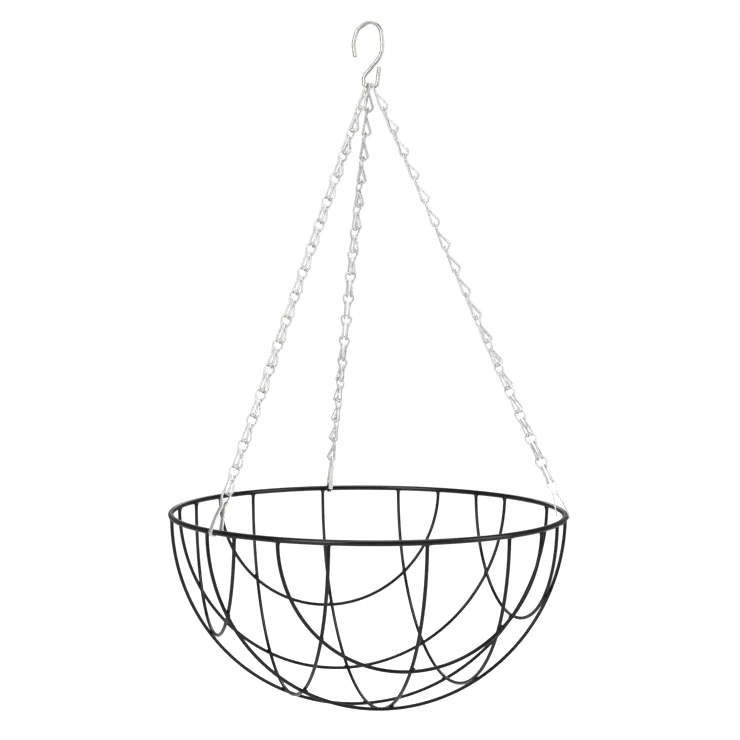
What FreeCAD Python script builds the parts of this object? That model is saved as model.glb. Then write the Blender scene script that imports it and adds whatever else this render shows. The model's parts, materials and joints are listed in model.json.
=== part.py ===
import FreeCAD, Part
import math, os

# Hanging basket: an open hook, three double-loop chains, three strip clips and a welded
# wire bowl.  Millimetres, +Z up.  The origin is the inside of the hook's top bend, where it
# sits on a bracket arm.  X and Y follow the two sets of bowl wires.

V = FreeCAD.Vector
doc = FreeCAD.newDocument("hanging_basket")
sheet = doc.addObject("Spreadsheet::Sheet", "Sizes")
row = [0]


def size(name, value):
    """One named number in the sheet; a text beginning with = is worked out there."""
    row[0] += 1
    sheet.set("A%d" % row[0], name)
    sheet.set("B%d" % row[0], str(value))
    sheet.setAlias("B%d" % row[0], name)


# bowl
size("rim_diameter", 350.7)           # centre line of the rim wire, 355.6 outside
size("rim_wire", 4.9)                # coated
size("bowl_wire", 3.1)               # coated
size("weld_sink", 0.3)               # how far the wires melt into each other
size("long_inner_offset", 75)        # wires along Y, either side of the middle one
size("long_outer_offset", 139.5)
size("cross_back_offset", 73.5)      # wires along X, welded by hand and a little uneven
size("cross_middle_offset", 6)
size("cross_front_offset", 77)
size("cross_outer_offset", 135.5)
size("rim_drop", 433.8)              # hook seat down to the rim's centre line
# hook
size("hook_wire", 3.2)
size("hook_height", 56.6)            # top bend to lower bend, centre lines
size("hook_arch", 25.8)              # width of the top bend, centre lines
size("peak_radius", 7)
size("peak_slope", 33)
size("hook_corner", 3)
size("shank_height", 29.6)           # where the shank turns towards the lower bend
size("shank_radius", 24)
size("hook_turn", -15.55)            # plane of the hook from the X axis
# chain
size("link_wire", 1.5)
size("link_pitch", 22.6)
size("loop_spacing", 4.0)            # between the two lower loops
size("loop_corner", 2.2)             # tight bend in the bottom of a loop
size("loop_depth", 6.4)
size("hook_gap", 0.35)               # play between the hook and the links on it
# clip
size("strip_thick", 1.2)
size("strip_width", 4.2)
size("strip_neck", 1.8)
size("clip_eye", 3.6)                # inside radius of the clip's eye
size("clip_gap", 0.15)               # play round the rim
size("clip_length", 34.5)            # shortest clip; the rest of a chain is whole links
size("left_angle", 209)
size("right_angle", 337)
size("back_angle", 87.6)
# worked out
size("rim_radius", "=rim_diameter / 2")
size("wire_shift", "=(bowl_wire - weld_sink) / 2")
size("bow_radius", "=3.3 + link_wire")      # upper eye of a link, centre line
size("link_gap", "=link_wire / 5")          # play between two links
size("hook_flat", "=2.6 + 2 * link_wire")   # straight bottom of the lower bend
size("left_seat", "=-1.9 * link_wire")      # where each chain hangs along that bottom
size("back_seat", "=-0.2 * link_wire")
size("right_seat", "=1.9 * link_wire + 0.05")
doc.recompute()
S = {}
for r in range(1, row[0] + 1):
    S[sheet.get("A%d" % r)] = float(sheet.get("B%d" % r))


# ------------------------------------------------------------------ helpers
def bent_path(points, radii):
    """A wire of straight runs joined by tangent arcs; radii has one value per inner point."""
    edges, last = [], points[0]
    for k in range(1, len(points) - 1):
        a, b, c = points[k - 1], points[k], points[k + 1]
        u, v = (a - b).normalize(), (c - b).normalize()
        half = u.getAngle(v) / 2
        back = radii[k - 1] / math.tan(half)
        mid = (u + v).normalize()
        centre = b + mid * (radii[k - 1] / math.sin(half))
        start, end, top = b + u * back, b + v * back, centre - mid * radii[k - 1]
        if (start - last).Length > 1e-4:
            edges.append(Part.LineSegment(last, start).toShape())
        else:
            start = last
        edges.append(Part.Arc(start, top, end).toShape())
        last = end
    if (points[-1] - last).Length > 1e-4:
        edges.append(Part.LineSegment(last, points[-1]).toShape())
    return Part.Wire(edges)


def path_object(name, wire):
    """Keeps a path in the document as the spine of a sweep."""
    spine = doc.addObject("Part::Feature", name)
    spine.Shape = wire
    return spine


def round_section(name, wire, alias):
    """The circle that is swept, with its radius from the sheet."""
    circle = doc.addObject("Part::Circle", name)
    circle.setExpression("Radius", "Sizes.%s / 2" % alias)
    edge = wire.OrderedEdges[0]
    start = wire.OrderedVertexes[0].Point
    along = edge.tangentAt(edge.getParameterByLength(0))
    if (edge.valueAt(edge.FirstParameter) - start).Length > 1e-6:
        along = edge.tangentAt(edge.LastParameter) * -1
    circle.Placement = FreeCAD.Placement(start, FreeCAD.Rotation(V(0, 0, 1), along))
    return circle


def swept(label, spine, section):
    """A solid wire or strip: the section carried along the spine."""
    body = doc.addObject("Part::Sweep", label)
    body.Sections = [section]
    body.Spine = (spine, ["Edge%d" % (k + 1) for k in range(len(spine.Shape.Edges))])
    body.Solid = True
    body.Frenet = False
    body.Transition = "Transformed"
    return body


def frame_at(origin, x_dir, y_dir, z_dir):
    """Placement with the given axes."""
    m = FreeCAD.Matrix(x_dir.x, y_dir.x, z_dir.x, origin.x,
                       x_dir.y, y_dir.y, z_dir.y, origin.y,
                       x_dir.z, y_dir.z, z_dir.z, origin.z, 0, 0, 0, 1)
    return FreeCAD.Placement(m)


nodes = []

# ------------------------------------------------------------------ hook
# One length of round wire: open, slightly peaked arch, slanting shank, closed eye below.
w = S["hook_wire"]
top = w / 2
low = top - S["hook_height"]
arm = S["hook_flat"] / 2 + S["hook_corner"]
left, right = 0.58 * S["hook_arch"], 0.42 * S["hook_arch"]
peak = S["peak_radius"]
slope = math.radians(S["peak_slope"])
tip = top - peak + peak / math.cos(slope)
hook_points = [
    V(-left + 1.3, 0, top - 30.5),
    V(-left - 0.4, 0, top - 19.5),
    V(-left + 2.8, 0, tip - (left - 2.8) * math.tan(slope)),
    V(0, 0, tip),
    V(right - 2.2, 0, tip - (right - 2.2) * math.tan(slope)),
    V(right + 0.8, 0, low + S["shank_height"]),
    V(-arm, 0, low + 8.8),
    V(-arm, 0, low),
    V(arm, 0, low),
    V(arm + 1.9, 0, low + 17.0),
]
hook_radii = [14, 12, peak, 11, S["shank_radius"], 5.0, S["hook_corner"], S["hook_corner"]]
hook_wire = bent_path(hook_points, hook_radii)
hook_spine = path_object("HookPath", hook_wire)
hook = swept("hook", hook_spine, round_section("HookSection", hook_wire, "hook_wire"))
turn = FreeCAD.Rotation(V(0, 0, 1), S["hook_turn"])
hook.Placement = FreeCAD.Placement(V(0, 0, 0), turn)
nodes.append(hook)

# ------------------------------------------------------------------ rim
rim = doc.addObject("Part::Torus", "rim")
rim.setExpression("Radius1", "Sizes.rim_radius")
rim.setExpression("Radius2", "Sizes.rim_wire / 2")
rim.Placement = FreeCAD.Placement(V(0, 0, -S["rim_drop"]), FreeCAD.Rotation())
nodes.append(rim)


# ------------------------------------------------------------------ bowl wires
# Ten half hoops, five each way.  Each is a plane cut of a ball, so the two sets cross
# evenly; the cross wires come up right under the rim and the long wires lie inside them.
def bowl_wires(label, offsets, along_x, side):
    parts = []
    for k, (sign, alias) in enumerate(offsets):
        arc = doc.addObject("Part::Torus", "%s_wire_%d" % (label, k + 1))
        away = "Sizes.%s" % alias if alias else "0"
        ball = "(Sizes.rim_radius + %d * Sizes.wire_shift)" % side
        arc.setExpression("Radius1", "sqrt(%s ^ 2 - (%s) ^ 2)" % (ball, away))
        arc.setExpression("Radius2", "Sizes.bowl_wire / 2")
        d = sign * (S[alias] if alias else 0.0)
        radius = math.sqrt((S["rim_radius"] + side * S["wire_shift"]) ** 2 - d * d)
        sunk = (2.4 if along_x else 5) * S["weld_sink"]
        stop = math.degrees(math.asin((S["rim_wire"] / 2 - sunk) / radius))
        arc.Angle3 = 180 - 2 * stop
        # the ring stands upright and hangs below the rim
        if along_x:
            spin = FreeCAD.Rotation(V(1, 0, 0), 90) * FreeCAD.Rotation(V(0, 0, 1), 180 + stop)
            place = V(0, d, -S["rim_drop"])
        else:
            spin = (FreeCAD.Rotation(V(0, 0, 1), 90) * FreeCAD.Rotation(V(1, 0, 0), 90)
                    * FreeCAD.Rotation(V(0, 0, 1), 180 + stop))
            place = V(d, 0, -S["rim_drop"])
        arc.Placement = FreeCAD.Placement(place, spin)
        parts.append(arc)
    group = doc.addObject("Part::Compound", label)
    group.Links = parts
    nodes.append(group)


bowl_wires("cross_wires_middle", [(-1, "cross_front_offset"), (1, "cross_middle_offset"),
                                  (1, "cross_back_offset")], True, 0)
bowl_wires("cross_wires_ends", [(-1, "cross_outer_offset"), (1, "cross_outer_offset")], True, 0)
bowl_wires("long_wires_middle", [(-1, "long_inner_offset"), (1, None), (1, "long_inner_offset")],
           False, -2)
bowl_wires("long_wires_ends", [(-1, "long_outer_offset"), (1, "long_outer_offset")], False, -2)

# ------------------------------------------------------------------ one chain link
# A single wire: bow at the top, two straight legs, each turned back up as a loop whose
# free end stops between the legs.  Local frame: bow in XZ with its top at 0,0,0.
d = S["link_wire"]
bow = S["bow_radius"]
half = S["loop_spacing"] / 2
seat = bow - d - S["link_gap"]                 # loops to the bow's centre, when hung
lift = bow - math.sqrt(seat * seat - half * half)   # bow top above the loops it hangs on
bearing_y = S["loop_corner"]
fall = math.sqrt(S["link_pitch"] ** 2 - bearing_y ** 2)
bottom = -(fall + lift)
depth = S["loop_depth"]


def make_link_wire():
    """Bow as one true arc, then the legs and loops as bent runs either side of it."""
    lean = math.radians(20)
    touch = V(bow * math.cos(lean), 0, -bow - bow * math.sin(lean))
    arc = Part.Arc(V(-touch.x, 0, touch.z), V(0, 0, 0), touch).toShape()
    sides = []
    for s in (1, -1):
        narrow = half + 0.15
        knee = touch.z - (touch.x - narrow) / math.tan(lean)
        points = [V(s * touch.x, 0, touch.z),
                  V(s * narrow, 0, knee),
                  V(s * half, 0, bottom),
                  V(s * half, 2.2 * bearing_y, bottom + 0.05),
                  V(s * (half - 0.1), depth + 0.5, bottom + 3.6),
                  V(s * (half - 0.45), 0.15, -8.2)]
        sides.append(bent_path(points, [5.0, S["loop_corner"], 2.4, 1.15]))
    edges = list(sides[1].OrderedEdges) + [arc] + list(sides[0].OrderedEdges)
    return Part.Wire(Part.__sortEdges__(edges))


link_wire = make_link_wire()
link_spine = path_object("LinkPath", link_wire)
link_section = round_section("LinkSection", link_wire, "link_wire")

# ------------------------------------------------------------------ clip
# Flat strip bent edge-on: a small eye for the last link, a pinch, then two legs; the outer
# leg wraps under the rim, the inner one ends free.  Local frame: +X outward, -Z down the
# line of pull, origin at the top of the eye's centre line.
t = S["strip_thick"]
eye = S["clip_eye"] + t / 2
grip = S["rim_wire"] / 2 + S["clip_gap"] + t / 2
hang = math.sqrt((eye - t / 2 - d / 2 - S["link_gap"]) ** 2 - half ** 2)
inner_bend = S["loop_corner"] - d / 2
neck_rise = inner_bend - math.sqrt(inner_bend ** 2 - (S["strip_neck"] / 2) ** 2)
# each chain's line runs from the wire of the hook's lower bend to the rim's centre line
across = FreeCAD.Rotation(V(0, 0, 1), S["hook_turn"]).multVec(V(1, 0, 0))
chains = []
for name in ("left", "right", "back"):
    a = math.radians(S[name + "_angle"])
    held = across * S[name + "_seat"] + V(0, 0, low)
    foot = V(S["rim_radius"] * math.cos(a), S["rim_radius"] * math.sin(a), -S["rim_drop"])
    up = (held - foot).normalize()
    start = held + up * (w / 2 + d / 2 + S["hook_gap"])
    chains.append((name, start, foot, V(math.cos(a), math.sin(a), 0)))


def clip_wire(reach):
    """Centre line of the strip; reach is from the top of the eye down to the rim."""
    bend = math.radians(45)
    out = grip * math.tan(bend / 2)
    points = [V(-grip * math.sin(bend) - 0.4, 0, -reach - grip * math.cos(bend) + 0.3),
              V(-out - 0.1, 0, -reach - grip),
              V(grip, 0, -reach - grip),
              V(grip - 0.25, 0, -reach + 11.0),
              V(1.1, 0, -eye - 9.0),
              V(eye, 0, -eye - 1.2),
              V(eye, 0, 0),
              V(-eye, 0, 0),
              V(-eye, 0, -eye - 1.2),
              V(-2.0, 0, -eye - 8.4),
              V(-6.9, 0, -reach + 3.0)]
    return bent_path(points, [grip, grip, 20, 3.0, 4.0, eye, eye, 5.0, 5.0])


def strip_outline(points_wire):
    """The strip seen edge-on: the centre line moved half a thickness to either side."""
    sides = []
    for way in (1, -1):
        edges = []
        for edge in points_wire.OrderedEdges:
            marks = [edge.FirstParameter, (edge.FirstParameter + edge.LastParameter) / 2,
                     edge.LastParameter]
            moved = []
            for p in marks:
                away = edge.tangentAt(p).cross(V(0, 1, 0))
                if edge.Orientation == "Reversed":
                    away = away * -1
                moved.append(edge.valueAt(p) + away * (way * t / 2))
            if edge.Curve.TypeId == "Part::GeomLine":
                edges.append(Part.LineSegment(moved[0], moved[2]).toShape())
            else:
                edges.append(Part.Arc(*moved).toShape())
        sides.append(edges)
    caps = []
    for vertex in (points_wire.OrderedVertexes[0].Point, points_wire.OrderedVertexes[-1].Point):
        ends = []
        for edges in sides:
            spots = [v.Point for e in edges for v in e.Vertexes]
            ends.append(min(spots, key=lambda p: abs((p - vertex).Length - t / 2)))
        caps.append(Part.LineSegment(ends[0], ends[1]).toShape())
    return Part.Wire(Part.__sortEdges__(sides[0] + sides[1] + caps))


# ------------------------------------------------------------------ chains and clips
# Every link hangs in the two loops of the one above it.  A link stands a little tilted so
# that both of its bearing points lie on the chain's line, and each chain is wound a little.
winding = {"left": [(0, 8), (4 / 16, 46), (1, 45)],
           "right": [(0, 8), (1 / 16, 17), (3 / 16, 15), (5 / 16, 3), (9 / 16, -8), (1, -78)],
           "back": [(0, 5), (3 / 16, 20), (1, 165)]}


def wound(marks, k):
    """Turn in degrees at k, a share of the way down the chain, between the marked places."""
    for (k0, a0), (k1, a1) in zip(marks, marks[1:]):
        if k <= k1:
            return a0 + (a1 - a0) * (k - k0) / (k1 - k0)
    return marks[-1][1]


tilt = math.atan2(bearing_y, fall)
for name, start, foot, outward in chains:
    up = (start - foot).normalize()
    # directions square to the chain: seen from the front, right and towards
    right = across - up * across.dot(up)
    right.normalize()
    toward = right.cross(up)
    count = int(((start - foot).Length - S["clip_length"]) / S["link_pitch"])
    for k in range(count):
        turn = math.radians(wound(winding[name], k / (count - 1)))
        loop_dir = right * math.cos(turn) + toward * math.sin(turn)
        bow_dir = loop_dir.cross(up)
        # tilt about the bow so the loops' low point comes under the bow's top
        y_dir = loop_dir * math.cos(tilt) - up * math.sin(tilt)
        z_dir = up * math.cos(tilt) + loop_dir * math.sin(tilt)
        link = swept("%s_link_%02d" % (name, k + 1), link_spine, link_section)
        link.Placement = frame_at(start - up * (S["link_pitch"] * k), bow_dir, y_dir, z_dir)
        nodes.append(link)
    end = start - up * (S["link_pitch"] * count)
    # the clip carries on along the chain's line
    loops_low = end - up * lift
    eye_centre = loops_low - up * (hang - neck_rise)
    reach = (eye_centre - foot).Length + eye
    profile = path_object("%s_clip_profile" % name, Part.Face(strip_outline(clip_wire(reach))))
    strip = doc.addObject("Part::Extrusion", "%s_strip" % name)
    strip.Base = profile
    strip.DirMode = "Custom"
    strip.Dir = V(0, 1, 0)
    strip.Solid = True
    strip.Symmetric = True
    strip.setExpression("LengthFwd", "Sizes.strip_width")
    out_dir = outward - up * outward.dot(up)
    out_dir.normalize()
    notches = []
    for s in (1, -1):
        box = doc.addObject("Part::Box", "%s_notch" % name)
        box.setExpression("Length", "4 * Sizes.clip_eye")
        box.setExpression("Width", "Sizes.strip_width")
        box.setExpression("Height", "2 * Sizes.clip_eye + 2.5")
        low_side = S["strip_neck"] / 2 if s > 0 else -S["strip_neck"] / 2 - S["strip_width"]
        box.Placement = FreeCAD.Placement(V(-2 * S["clip_eye"], low_side, -2 * S["clip_eye"] - 1),
                                          FreeCAD.Rotation())
        notches.append(box)
    both = doc.addObject("Part::MultiFuse", "%s_notches" % name)
    both.Shapes = notches
    clip = doc.addObject("Part::Cut", "%s_clip" % name)
    clip.Base, clip.Tool = strip, both
    across_dir = up.cross(out_dir)
    clip.Placement = frame_at(eye_centre + up * eye, out_dir, across_dir, up)
    nodes.append(clip)

doc.recompute()
for thing in doc.Objects:
    bad = [x for x in thing.State if x in ("Invalid", "Error")]
    if bad:
        raise RuntimeError("%s: %s" % (thing.Label, bad))
for node in nodes:
    if node.Shape.isNull() or not node.Shape.isValid() or not node.Shape.Solids:
        raise RuntimeError("no valid solid: " + node.Label)
os.makedirs("parts", exist_ok=True)
for node in nodes:
    node.Shape.exportStep("parts/%s.step" % node.Label)
print(len(nodes), "nodes")
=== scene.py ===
import bpy, bmesh, json, math
from mathutils import Matrix, Vector, noise


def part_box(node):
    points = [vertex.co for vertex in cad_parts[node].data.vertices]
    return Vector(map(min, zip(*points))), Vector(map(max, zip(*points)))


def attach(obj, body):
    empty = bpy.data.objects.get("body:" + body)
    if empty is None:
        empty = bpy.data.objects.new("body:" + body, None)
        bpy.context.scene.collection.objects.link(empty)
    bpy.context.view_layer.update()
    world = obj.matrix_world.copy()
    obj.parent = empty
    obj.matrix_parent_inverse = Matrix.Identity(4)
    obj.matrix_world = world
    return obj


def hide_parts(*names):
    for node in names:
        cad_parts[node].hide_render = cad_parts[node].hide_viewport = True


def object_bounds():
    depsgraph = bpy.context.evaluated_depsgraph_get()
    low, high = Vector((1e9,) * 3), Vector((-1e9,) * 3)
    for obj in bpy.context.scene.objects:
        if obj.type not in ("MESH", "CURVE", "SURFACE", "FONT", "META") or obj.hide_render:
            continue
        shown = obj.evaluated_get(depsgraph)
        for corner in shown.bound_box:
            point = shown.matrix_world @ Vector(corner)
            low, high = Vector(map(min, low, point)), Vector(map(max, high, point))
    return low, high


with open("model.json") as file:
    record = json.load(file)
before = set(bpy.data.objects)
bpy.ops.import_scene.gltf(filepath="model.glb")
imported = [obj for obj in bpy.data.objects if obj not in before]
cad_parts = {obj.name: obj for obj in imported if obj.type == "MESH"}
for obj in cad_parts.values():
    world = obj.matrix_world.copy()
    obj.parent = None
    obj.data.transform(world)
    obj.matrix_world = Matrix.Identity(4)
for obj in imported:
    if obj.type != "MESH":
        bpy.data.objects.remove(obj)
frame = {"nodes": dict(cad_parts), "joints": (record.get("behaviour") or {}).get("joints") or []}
cad_low, cad_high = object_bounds()
scene = bpy.context.scene
nodes = frame["nodes"]

# ------------------------------------------------------------------ rim
# The rim is one heavy steel wire rolled into a ring, butt welded and coated black after the
# bowl is welded up, so the coating is thick and rounded where the bowl wires meet it.
rim_low, rim_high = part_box("rim")
rim_z = (rim_low.z + rim_high.z) / 2
rim_wire = (rim_high.z - rim_low.z) / 2
rim_radius = (rim_high.x - rim_low.x) / 2 - rim_wire

# where the bowl wires run: cross wires along X at these Y, long wires along Y at these X
cross_offsets = [-0.1355, -0.077, 0.006, 0.0735, 0.1355]
long_offsets = [-0.1395, -0.075, 0.0, 0.075, 0.1395]
bowl_wire = 0.00155
cross_line = rim_radius
long_line = rim_radius - 0.0028
weld_angles = []
for offset in cross_offsets:
    turn = math.asin(offset / cross_line)
    weld_angles += [turn, math.pi - turn]
for offset in long_offsets:
    turn = math.acos(offset / long_line)
    weld_angles += [turn, -turn]


def coated(shape, name, node):
    """Makes a basket piece of the shape, smooth shaded, riding on the bowl."""
    bmesh.ops.recalc_face_normals(shape, faces=shape.faces)
    mesh = bpy.data.meshes.new(name)
    shape.to_mesh(mesh)
    shape.free()
    mesh.polygons.foreach_set("use_smooth", [True] * len(mesh.polygons))
    piece = bpy.data.objects.new(name, mesh)
    scene.collection.objects.link(piece)
    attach(piece, "basket")
    if node:
        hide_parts(node)
    mesh.materials.append(black_coating)
    return piece


# satin black dip coating: faint orange peel, a few tiny pits, and a sheen that changes
# a little where the coating ran thick or thin
black_coating = bpy.data.materials.new("black dip coating")
black_coating.use_nodes = True
tree = black_coating.node_tree
gloss = tree.nodes["Principled BSDF"]
gloss.inputs["IOR"].default_value = 1.38
place = tree.nodes.new("ShaderNodeTexCoord")
runs = tree.nodes.new("ShaderNodeTexNoise")
runs.inputs["Scale"].default_value = 55
runs.inputs["Detail"].default_value = 3
peel = tree.nodes.new("ShaderNodeTexNoise")
peel.inputs["Scale"].default_value = 1100
peel.inputs["Detail"].default_value = 2
pits = tree.nodes.new("ShaderNodeTexVoronoi")
pits.inputs["Scale"].default_value = 420
for texture in (runs, peel, pits):
    tree.links.new(place.outputs["Object"], texture.inputs["Vector"])
colour = tree.nodes.new("ShaderNodeValToRGB")
colour.color_ramp.elements[0].position = 0.3
colour.color_ramp.elements[0].color = (0.005, 0.0046, 0.0046, 1)
colour.color_ramp.elements[1].position = 0.72
colour.color_ramp.elements[1].color = (0.013, 0.0118, 0.0115, 1)
tree.links.new(runs.outputs["Fac"], colour.inputs["Fac"])
tree.links.new(colour.outputs["Color"], gloss.inputs["Base Color"])
sheen = tree.nodes.new("ShaderNodeMapRange")
sheen.inputs["From Min"].default_value = 0.3
sheen.inputs["From Max"].default_value = 0.7
sheen.inputs["To Min"].default_value = 0.17
sheen.inputs["To Max"].default_value = 0.27
tree.links.new(runs.outputs["Fac"], sheen.inputs["Value"])
tree.links.new(sheen.outputs["Result"], gloss.inputs["Roughness"])
pit = tree.nodes.new("ShaderNodeMapRange")
pit.inputs["From Min"].default_value = 0.02
pit.inputs["From Max"].default_value = 0.16
tree.links.new(pits.outputs["Distance"], pit.inputs["Value"])
relief = tree.nodes.new("ShaderNodeMath")
relief.operation = "MULTIPLY_ADD"
relief.inputs[1].default_value = 0.35
tree.links.new(pit.outputs["Result"], relief.inputs[0])
tree.links.new(peel.outputs["Fac"], relief.inputs[2])
surface = tree.nodes.new("ShaderNodeBump")
surface.inputs["Strength"].default_value = 0.25
surface.inputs["Distance"].default_value = 0.00004
tree.links.new(relief.outputs["Value"], surface.inputs["Height"])
tree.links.new(surface.outputs["Normal"], gloss.inputs["Normal"])

ring = bmesh.new()
bmesh.ops.create_circle(ring, segments=28, radius=rim_wire, cap_ends=False,
                        matrix=Matrix.Translation((rim_radius, 0, 0)) @ Matrix.Rotation(math.pi / 2, 4, "X"))
bmesh.ops.spin(ring, geom=ring.verts[:] + ring.edges[:], cent=(0, 0, 0), axis=(0, 0, 1),
               angle=2 * math.pi, steps=420, use_merge=True)
bmesh.ops.remove_doubles(ring, verts=ring.verts, dist=1e-6)
butt = math.radians(128)
pool_width, bead_width = 0.0024, 0.0013
for vert in ring.verts:
    turn = math.atan2(vert.co.y, vert.co.x)
    core = Vector((math.cos(turn), math.sin(turn), 0)) * rim_radius
    side = vert.co - core
    # pools of coating under the rim at each wire, and a low bead at the butt weld
    pool = 0
    for weld in weld_angles:
        gap = (turn - weld + math.pi) % (2 * math.pi) - math.pi
        pool = max(pool, math.exp(-(gap * rim_radius / pool_width) ** 2))
    low = max(0.0, -side.z / rim_wire)
    gap = (turn - butt + math.pi) % (2 * math.pi) - math.pi
    bead = math.exp(-(gap * rim_radius / bead_width) ** 2)
    inward = max(0.0, -side.dot(core) / rim_radius / rim_wire)
    wander = 0.012 * noise.noise(core * 90)
    grow = 1 - 0.012 + wander + 0.16 * pool * low + 0.10 * bead * max(inward, low)
    if side.z < -rim_wire * 0.99:
        grow = min(grow, 1.12)
    vert.co = core + side * grow + Vector((0, 0, rim_z))
coated(ring, "rim_ring", "rim")


# ------------------------------------------------------------------ bowl wires
# Five straight-cut lengths each way, bent to half hoops, the cross wires straight under the rim
# and the long wires inside them, resistance welded to the rim and to each other before coating.
cross_end, long_end = 0.0017, 0.00095
spread_length = 0.0021


def hoop(shape, offset, line, below, along_x):
    """One half hoop starting below the rim's middle; the coating spreads where they meet."""
    radius = math.sqrt(line ** 2 - offset ** 2)
    stop = math.asin(below / radius)
    made = bmesh.ops.create_circle(shape, segments=18, radius=bowl_wire, cap_ends=True)
    start = Matrix.Rotation(stop, 4, "Y") @ Matrix.Translation((radius, 0, 0))
    bmesh.ops.transform(shape, matrix=start, verts=made["verts"])
    faces = list({face for vert in made["verts"] for face in vert.link_faces})
    edges = list({edge for vert in made["verts"] for edge in vert.link_edges})
    before = set(shape.verts) - set(made["verts"])
    bmesh.ops.spin(shape, geom=made["verts"] + edges + faces, cent=(0, 0, 0), axis=(0, 1, 0),
                   angle=math.pi - 2 * stop, steps=150)
    for vert in set(shape.verts) - before:
        away = Vector((vert.co.x, 0, vert.co.z))
        core = away.normalized() * radius
        side = vert.co - core
        outward = side.dot(core) / radius
        spread = math.exp(-((-core.z - below) / spread_length) ** 2)
        grow = 1 + 0.62 * spread + 0.035 * noise.noise(core * 160 + Vector((0, offset * 40, 0)))
        # it spreads sideways and inward, not past the outside of the ring
        keep = side - core * (outward / radius) if outward > 0 else Vector()
        if outward > 0:
            side = keep * grow + (side - keep)
        else:
            side = side * grow
        vert.co = core + side
        if along_x:
            vert.co = Vector((vert.co.x, vert.co.y + offset, vert.co.z + rim_z))
        else:
            vert.co = Vector((-vert.co.y + offset, vert.co.x, vert.co.z + rim_z))


for name, node, offsets, along_x in (
        ("cross_hoops_middle", "cross_wires_middle", cross_offsets[1:4], True),
        ("cross_hoops_ends", "cross_wires_ends", cross_offsets[::4], True),
        ("long_hoops_middle", "long_wires_middle", long_offsets[1:4], False),
        ("long_hoops_ends", "long_wires_ends", long_offsets[::4], False)):
    hoops = bmesh.new()
    for offset in offsets:
        if along_x:
            hoop(hoops, offset, cross_line, cross_end, True)
        else:
            hoop(hoops, offset, long_line, long_end, False)
    coated(hoops, name, node)

# ------------------------------------------------------------------ webs at the crossings
# The coating bridges the four corners of every welded crossing with a small concave web.
web_reach, web_thick, web_hollow = 0.0027, 0.0013, 0.74
web_line = (cross_line + long_line) / 2
webs = bmesh.new()
for across_y in cross_offsets:
    for along in long_offsets:
        drop = web_line ** 2 - across_y ** 2 - along ** 2
        if drop < 0.0004:
            continue
        place = Vector((along, across_y, -math.sqrt(drop)))
        out = place.normalized()
        cross_way = Vector((-place.z, 0, place.x)).normalized()
        long_way = Vector((0, -place.z, place.y)).normalized()
        made = bmesh.ops.create_uvsphere(webs, u_segments=32, v_segments=8, radius=1)
        size = 1 + 0.2 * noise.noise(place * 70)
        for vert in made["verts"]:
            turn = math.atan2(vert.co.y, vert.co.x)
            flat = math.hypot(vert.co.x, vert.co.y)
            hollow = abs(math.cos(turn)) ** web_hollow + abs(math.sin(turn)) ** web_hollow
            reach = web_reach / hollow ** (1 / web_hollow)
            reach *= size * flat
            vert.co = (place + cross_way * math.cos(turn) * reach + long_way * math.sin(turn) * reach
                       + out * vert.co.z * web_thick + Vector((0, 0, rim_z)))
coated(webs, "crossing_webs", None)

# ------------------------------------------------------------------ hook
# A length of zinc plated wire, heavier than the chain's, bent cold to an open arch above and
# a tight bend below that holds the three chains.
# plating: cloudy patches of tone, with the fine drawn lines and nicks of cold-bent wire
plating = bpy.data.node_groups.new("plating", "ShaderNodeTree")
plating.interface.new_socket("Cloud Scale", in_out="INPUT", socket_type="NodeSocketFloat")
plating.interface.new_socket("Grain Scale", in_out="INPUT", socket_type="NodeSocketFloat")
plating.interface.new_socket("Cloud", in_out="OUTPUT", socket_type="NodeSocketFloat")
plating.interface.new_socket("Height", in_out="OUTPUT", socket_type="NodeSocketFloat")
taken = plating.nodes.new("NodeGroupInput")
given = plating.nodes.new("NodeGroupOutput")
where = plating.nodes.new("ShaderNodeTexCoord")
cloud = plating.nodes.new("ShaderNodeTexNoise")
cloud.inputs["Detail"].default_value = 4
cloud.inputs["Roughness"].default_value = 0.6
grain = plating.nodes.new("ShaderNodeTexNoise")
grain.inputs["Detail"].default_value = 3
nick = plating.nodes.new("ShaderNodeTexVoronoi")
plating.links.new(where.outputs["Object"], cloud.inputs["Vector"])
plating.links.new(where.outputs["Object"], grain.inputs["Vector"])
plating.links.new(where.outputs["Object"], nick.inputs["Vector"])
plating.links.new(taken.outputs["Cloud Scale"], cloud.inputs["Scale"])
plating.links.new(taken.outputs["Grain Scale"], grain.inputs["Scale"])
plating.links.new(taken.outputs["Grain Scale"], nick.inputs["Scale"])
nicked = plating.nodes.new("ShaderNodeMapRange")
nicked.inputs["From Max"].default_value = 0.2
plating.links.new(nick.outputs["Distance"], nicked.inputs["Value"])
total = plating.nodes.new("ShaderNodeMath")
total.operation = "MULTIPLY_ADD"
total.inputs[1].default_value = 0.4
plating.links.new(nicked.outputs["Result"], total.inputs[0])
plating.links.new(grain.outputs["Fac"], total.inputs[2])
plating.links.new(cloud.outputs["Fac"], given.inputs["Cloud"])
plating.links.new(total.outputs["Value"], given.inputs["Height"])


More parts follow.
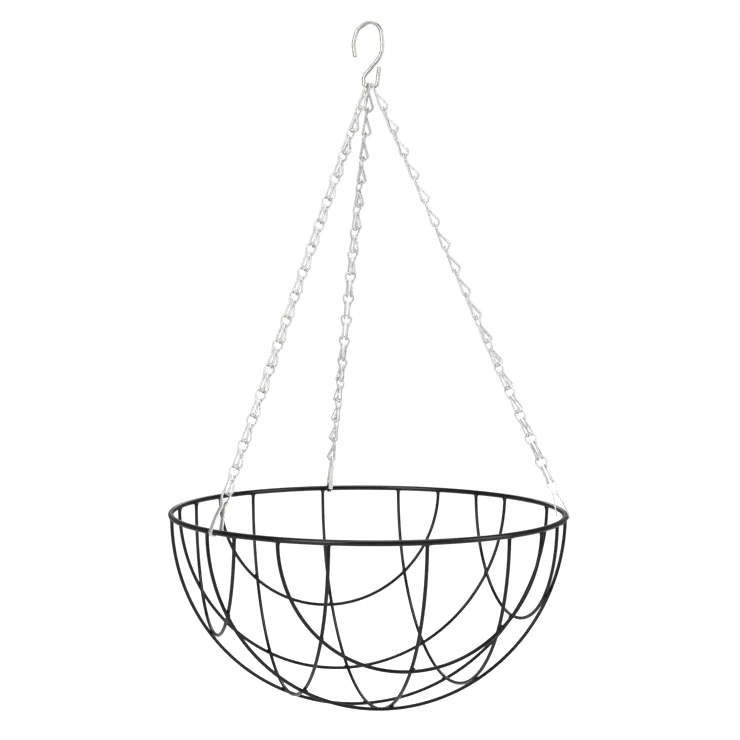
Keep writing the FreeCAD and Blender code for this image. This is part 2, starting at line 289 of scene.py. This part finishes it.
def plated(name, dull, bright, rough, cloud_scale, grain_scale):
    """Zinc plated steel between two tones, smoother where it is brighter."""
    finish = bpy.data.materials.new(name)
    finish.use_nodes = True
    tree = finish.node_tree
    metal = tree.nodes["Principled BSDF"]
    metal.inputs["Metallic"].default_value = 1.0
    layer = tree.nodes.new("ShaderNodeGroup")
    layer.node_tree = plating
    layer.inputs["Cloud Scale"].default_value = cloud_scale
    layer.inputs["Grain Scale"].default_value = grain_scale
    tone = tree.nodes.new("ShaderNodeValToRGB")
    tone.color_ramp.elements[0].position = 0.32
    tone.color_ramp.elements[0].color = (*dull, 1)
    tone.color_ramp.elements[1].position = 0.66
    tone.color_ramp.elements[1].color = (*bright, 1)
    tree.links.new(layer.outputs["Cloud"], tone.inputs["Fac"])
    tree.links.new(tone.outputs["Color"], metal.inputs["Base Color"])
    polish = tree.nodes.new("ShaderNodeMapRange")
    polish.inputs["From Min"].default_value = 0.3
    polish.inputs["From Max"].default_value = 0.7
    polish.inputs["To Min"].default_value = rough + 0.07
    polish.inputs["To Max"].default_value = rough - 0.05
    tree.links.new(layer.outputs["Cloud"], polish.inputs["Value"])
    tree.links.new(polish.outputs["Result"], metal.inputs["Roughness"])
    bump = tree.nodes.new("ShaderNodeBump")
    bump.inputs["Strength"].default_value = 0.07
    bump.inputs["Distance"].default_value = 0.00001
    tree.links.new(layer.outputs["Height"], bump.inputs["Height"])
    tree.links.new(bump.outputs["Normal"], metal.inputs["Normal"])
    return finish


hook_plating = plated("hook zinc", (0.46, 0.445, 0.41), (0.66, 0.645, 0.60), 0.34, 260, 1500)


def drawn_along(shape, points, radii, ring, steps, run_length):
    """Carries a ring of vertices, capped at both ends, along straight runs and bends."""
    heading = (points[1] - points[0]).normalized()
    side = Vector((0, 1, 0)) if abs(heading.y) < 0.9 else Vector((1, 0, 0))
    thin = side.cross(heading).normalized()
    wide = heading.cross(thin)
    for vert in ring:
        vert.co = points[0] + thin * vert.co.x + wide * vert.co.y
    front = [face for face in shape.faces]
    at = points[0].copy()
    for k in range(1, len(points)):
        into = (points[k] - points[k - 1]).normalized()
        last = k == len(points) - 1
        back, bend = 0.0, 0.0
        if not last:
            leave = (points[k + 1] - points[k]).normalized()
            bend = into.angle(leave)
            back = radii[k - 1] * math.tan(bend / 2)
        run = points[k] - into * back - at
        if run.dot(into) > 2e-5:
            pieces = max(1, round(run.length / run_length))
            for _ in range(pieces):
                grown = bmesh.ops.extrude_face_region(shape, geom=front)
                bmesh.ops.delete(shape, geom=[f for f in front if f.is_valid], context="FACES_ONLY")
                front = [g for g in grown["geom"] if isinstance(g, bmesh.types.BMFace)]
                bmesh.ops.translate(shape, vec=run / pieces, verts=list({v for f in front for v in f.verts}))
            at += run
        if not last:
            axis = into.cross(leave).normalized()
            front_edges = list({e for f in front for e in f.edges})
            front_verts = list({v for f in front for v in f.verts})
            geom = front + front_edges + front_verts
            grown = bmesh.ops.spin(shape, geom=geom, cent=at + axis.cross(into) * radii[k - 1], axis=axis,
                                   angle=bend, steps=max(2, round(steps * bend / math.pi)))
            bmesh.ops.delete(shape, geom=[f for f in front if f.is_valid], context="FACES_ONLY")
            front = [g for g in grown["geom_last"] if isinstance(g, bmesh.types.BMFace)]
            at = points[k] + leave * back


def wire(points, radii, radius, sides, steps, run_length):
    """A bent round wire whose sheared ends are broken at the edge."""
    shape = bmesh.new()
    ring = bmesh.ops.create_circle(shape, segments=sides, radius=radius, cap_ends=True)["verts"]
    drawn_along(shape, points, radii, ring, steps, run_length)
    bmesh.ops.remove_doubles(shape, verts=shape.verts, dist=1e-7)
    caps = [face for face in shape.faces if len(face.verts) > 4]
    rims = [edge for face in caps for edge in face.edges]
    bmesh.ops.bevel(shape, geom=rims, offset=radius * 0.28, offset_type="OFFSET", affect="EDGES",
                    segments=2, profile=0.5, material=-1)
    bmesh.ops.recalc_face_normals(shape, faces=shape.faces)
    return shape


def finished(shape, name, body, node, finish):
    """Makes a smooth shaded metal piece of the shape in place of its node."""
    mesh = bpy.data.meshes.new(name)
    shape.to_mesh(mesh)
    shape.free()
    mesh.polygons.foreach_set("use_smooth", [True] * len(mesh.polygons))
    mesh.set_sharp_from_angle(angle=math.radians(50))
    piece = bpy.data.objects.new(name, mesh)
    scene.collection.objects.link(piece)
    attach(piece, body)
    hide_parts(node)
    mesh.materials.append(finish)
    return piece


# the hook's path in its own plane, the seat under the top bend at 0, 0
hook_wire = 0.0016
slope = math.tan(math.radians(33))
peak = hook_wire - 0.007 + 0.007 / math.cos(math.radians(33))
bend_z = hook_wire - 0.0566
arm = 0.0058
hook_path = [(-0.013664, hook_wire - 0.0305), (-0.015364, hook_wire - 0.0195),
             (-0.012164, peak - 0.012164 * slope), (0, peak), (0.008636, peak - 0.008636 * slope),
             (0.011636, bend_z + 0.0296), (-arm, bend_z + 0.0088), (-arm, bend_z), (arm, bend_z),
             (arm + 0.0019, bend_z + 0.017)]
hook_shape = wire([Vector((x, 0, z)) for x, z in hook_path],
                  [0.014, 0.012, 0.007, 0.011, 0.024, 0.005, 0.003, 0.003], hook_wire, 32, 40, 0.0012)
hook_turn = Matrix.Rotation(math.radians(-15.55), 4, "Z")
bmesh.ops.transform(hook_shape, matrix=hook_turn, verts=hook_shape.verts)
finished(hook_shape, "bent_hook", "hook", "hook", hook_plating)

# ------------------------------------------------------------------ chains
# Each link is one piece of bright zinc plated wire: a bow above and two loops below, with
# the cut ends tucked up between the legs.  Each hangs in both loops of the one above.
chain_plating = plated("chain zinc", (0.66, 0.665, 0.645), (0.84, 0.845, 0.825), 0.64, 330, 1900)
link_wire, bow, loop_side = 0.00075, 0.0048, 0.002
pitch, loop_bend, loop_depth = 0.0226, 0.0022, 0.0064
bow_over_loops = bow - math.sqrt((bow - 2 * link_wire - 0.0003) ** 2 - loop_side ** 2)
fall = math.sqrt(pitch ** 2 - loop_bend ** 2)
foot_z = -(fall + bow_over_loops)
lean = math.radians(20)
touch = Vector((bow * math.cos(lean), 0, -bow - bow * math.sin(lean)))
narrow = loop_side + 0.00015
knee_z = touch.z - (touch.x - narrow) / math.tan(lean)


def link_side(s):
    """Corner points of one leg and its loop, from the free end up to the bow."""
    return [Vector((s * (loop_side - 0.00045), 0.00015, -0.0082)),
            Vector((s * (loop_side - 0.0001), loop_depth + 0.0005, foot_z + 0.0036)),
            Vector((s * loop_side, 2.2 * loop_bend, foot_z + 0.00005)),
            Vector((s * loop_side, 0, foot_z)),
            Vector((s * narrow, 0, knee_z))]


# the bow's arc is drawn as four equal bends round the same centre
bow_points = []
for angle in (7.5, 62.5, 117.5, 172.5):
    far = bow / math.cos(math.radians(27.5))
    turn = math.radians(angle)
    bow_points.append(Vector((far * math.cos(turn), 0, -bow + far * math.sin(turn))))
link_path = link_side(1) + bow_points + link_side(-1)[::-1]
loop_radii = [0.00115, 0.0024, loop_bend, 0.005]
link_radii = loop_radii + [bow] * 4 + loop_radii[::-1]
pattern = wire(link_path, link_radii, link_wire, 14, 22, 0.004)
pattern_mesh = bpy.data.meshes.new("link pattern")
pattern.to_mesh(pattern_mesh)
pattern.free()
# how far round each link is turned, in degrees, at shares of the way down its chain
winding = {"left": [(0, 8), (4 / 16, 46), (1, 45)],
           "right": [(0, 8), (1 / 16, 17), (3 / 16, 15), (5 / 16, 3), (9 / 16, -8), (1, -78)],
           "back": [(0, 5), (3 / 16, 20), (1, 165)]}
across = hook_turn @ Vector((1, 0, 0))
tilt = math.atan2(loop_bend, fall)
for name, marks in winding.items():
    joint = next(j for j in frame["joints"] if j["name"] == name + "_chain_twist")
    up = Vector(joint["axis"]).normalized()
    start = Vector(joint["pos_m"])
    right = (across - up * across.dot(up)).normalized()
    toward = right.cross(up)
    links = sorted(n for n in nodes if n.startswith(name + "_link_"))
    for k, node in enumerate(links):
        share = k / (len(links) - 1)
        for (s0, a0), (s1, a1) in zip(marks, marks[1:]):
            if share <= s1 + 1e-9:
                turn = math.radians(a0 + (a1 - a0) * (share - s0) / (s1 - s0))
                break
        loops_way = right * math.cos(turn) + toward * math.sin(turn)
        stand = Matrix((loops_way.cross(up), loops_way * math.cos(tilt) - up * math.sin(tilt),
                        up * math.cos(tilt) + loops_way * math.sin(tilt))).transposed().to_4x4()
        link = bmesh.new()
        link.from_mesh(pattern_mesh)
        bmesh.ops.transform(link, matrix=Matrix.Translation(start - up * pitch * k) @ stand, verts=link.verts)
        finished(link, node.replace("_link_", "_chain_link_"), name + "_chain", node, chain_plating)
bpy.data.meshes.remove(pattern_mesh)

# ------------------------------------------------------------------ clips
# Pressed from flat zinc plated strip, bent to a small eye round the last link, pinched
# below it and hooked under the rim; the inner leg ends free beside the rim.
clip_plating = plated("clip zinc", (0.84, 0.84, 0.795), (0.96, 0.96, 0.915), 0.5, 210, 1300)
strip_half, strip_thick, strip_neck = 0.0021, 0.0006, 0.0009
eye = 0.0042
clip_gap, eye_play = 0.00015, 0.000367
grip = rim_wire + clip_gap + strip_thick
end_round = 0.0012

for name, angle in (("left", 209), ("right", 337), ("back", 87.6)):
    joint = next(j for j in frame["joints"] if j["name"] == name + "_chain_twist")
    up = Vector(joint["axis"]).normalized()
    outward = Vector((math.cos(math.radians(angle)), math.sin(math.radians(angle)), 0))
    foot = outward * rim_radius + Vector((0, 0, rim_z))
    links = len([n for n in nodes if n.startswith(name + "_link_")])
    eye_top = Vector(joint["pos_m"]) - up * (pitch * links - eye_play)
    reach = (eye_top - foot).length
    lip = math.radians(45)
    points = [Vector((-grip * math.sin(lip) - 0.0004, 0, -reach - grip * math.cos(lip) + 0.0003)),
              Vector((-grip * math.tan(lip / 2) - 0.0001, 0, -reach - grip)),
              Vector((grip, 0, -reach - grip)),
              Vector((grip - 0.00025, 0, -reach + 0.011)),
              Vector((0.0011, 0, -eye - 0.009)),
              Vector((eye, 0, -eye - 0.0012)),
              Vector((eye, 0, 0)),
              Vector((-eye, 0, 0)),
              Vector((-eye, 0, -eye - 0.0012)),
              Vector((-0.002, 0, -eye - 0.0084)),
              Vector((-0.0069, 0, -reach + 0.003))]
    strip = bmesh.new()
    ring = bmesh.ops.create_circle(strip, segments=24, radius=1, cap_ends=True)["verts"]
    for vert in ring:
        thin, wide = vert.co.x, vert.co.y
        vert.co = Vector((math.copysign(abs(thin) ** 0.3, thin) * strip_thick,
                          math.copysign(abs(wide) ** 0.16, wide) * strip_half, 0))
    drawn_along(strip, points, [grip, grip, 0.020, 0.003, 0.004, eye, eye, 0.005, 0.005], ring, 30, 0.0012)
    bmesh.ops.remove_doubles(strip, verts=strip.verts, dist=1e-7)
    for vert in strip.verts:
        # the eye is necked so that it passes between the loops of the last link
        neck = min(1.0, max(0.0, (vert.co.z + 0.0095) / 0.0016))
        neck = neck * neck * (3 - 2 * neck)
        vert.co.y *= 1 - neck * (1 - strip_neck / strip_half)
        # rounded corners at the two cut ends
        for end in (points[0], points[-1]):
            gap = (Vector((vert.co.x, 0, vert.co.z)) - end).length
            if gap < end_round:
                vert.co.y *= 1 - 0.3 * (1 - gap / end_round) ** 2
    out_dir = (outward - up * outward.dot(up)).normalized()
    stand = Matrix((out_dir, up.cross(out_dir), up)).transposed().to_4x4()
    bmesh.ops.transform(strip, matrix=Matrix.Translation(eye_top) @ stand, verts=strip.verts)
    bmesh.ops.recalc_face_normals(strip, faces=strip.faces)
    finished(strip, name + "_strip_clip", "basket", name + "_clip", clip_plating)

# ------------------------------------------------------------------ where it is seen from
# A long lens a little over seven rim radii away, slightly above the rim and turned
# towards the left of the bowl's wires, looking almost level.
turned, raised = math.radians(-15.55), math.radians(7.99)
camera_data = bpy.data.cameras.new("camera")
camera_data.lens = 67.8
camera_data.sensor_width = 36
camera = bpy.data.objects.new("camera", camera_data)
camera.location = Vector((0, 0, rim_z)) + 7.17 * rim_radius * Vector((
    math.sin(turned) * math.cos(raised), -math.cos(turned) * math.cos(raised), math.sin(raised)))
camera.rotation_euler = (math.radians(90 - 2.19), math.radians(-0.3), turned - math.radians(0.035))
scene.collection.objects.link(camera)
scene.camera = camera

# ------------------------------------------------------------------ floor and light
# A plain white floor well below the hanging bowl, a pale surround and large soft lamps, as
# for a product picture on white.
ground = bmesh.new()
bmesh.ops.create_grid(ground, x_segments=1, y_segments=1, size=14)
bmesh.ops.translate(ground, verts=ground.verts, vec=(0, 0, cad_low.z - 0.45))
floor_mesh = bpy.data.meshes.new("floor")
ground.to_mesh(floor_mesh)
ground.free()
floor = bpy.data.objects.new("floor", floor_mesh)
scene.collection.objects.link(floor)
white = bpy.data.materials.new("white floor")
white.use_nodes = True
tree = white.node_tree
paper = tree.nodes["Principled BSDF"]
paper.inputs["Base Color"].default_value = (0.9, 0.9, 0.9, 1)
paper.inputs["Roughness"].default_value = 0.9
paper.inputs["Emission Color"].default_value = (1, 1, 1, 1)
seen = tree.nodes.new("ShaderNodeLightPath")
lit = tree.nodes.new("ShaderNodeMapRange")
lit.inputs["To Min"].default_value = 0.0
lit.inputs["To Max"].default_value = 0.95
tree.links.new(seen.outputs["Is Camera Ray"], lit.inputs["Value"])
tree.links.new(lit.outputs["Result"], paper.inputs["Emission Strength"])
floor_mesh.materials.append(white)

world = bpy.data.worlds.new("surround")
world.use_nodes = True
tree = world.node_tree
seen = tree.nodes.new("ShaderNodeLightPath")
tone = tree.nodes.new("ShaderNodeMapRange")
tone.inputs["To Min"].default_value = 0.2
tone.inputs["To Max"].default_value = 1.0
tree.links.new(seen.outputs["Is Camera Ray"], tone.inputs["Value"])
tree.links.new(tone.outputs["Result"], tree.nodes["Background"].inputs["Strength"])
tree.nodes["Background"].inputs["Color"].default_value = (1, 1, 1, 1)
scene.world = world
scene.view_settings.view_transform = "Standard"

for name, place, width, height, power in (("key panel", (-1.5, -1.5, 0.4), 1.1, 1.8, 34),
                                          ("fill panel", (1.7, -1.3, 0.2), 1.1, 1.8, 20),
                                          ("overhead", (0.1, -0.2, 1.7), 1.6, 1.0, 24),
                                          ("behind", (0.5, 2.0, 0.5), 1.4, 0.8, 8)):
    lamp_data = bpy.data.lights.new(name, "AREA")
    lamp_data.shape = "RECTANGLE"
    lamp_data.size = width
    lamp_data.size_y = height
    lamp_data.energy = power
    lamp = bpy.data.objects.new(name, lamp_data)
    lamp.location = Vector(place)
    lamp.rotation_euler = (Vector((0, 0, -0.33)) - lamp.location).to_track_quat("-Z", "Y").to_euler()
    scene.collection.objects.link(lamp)
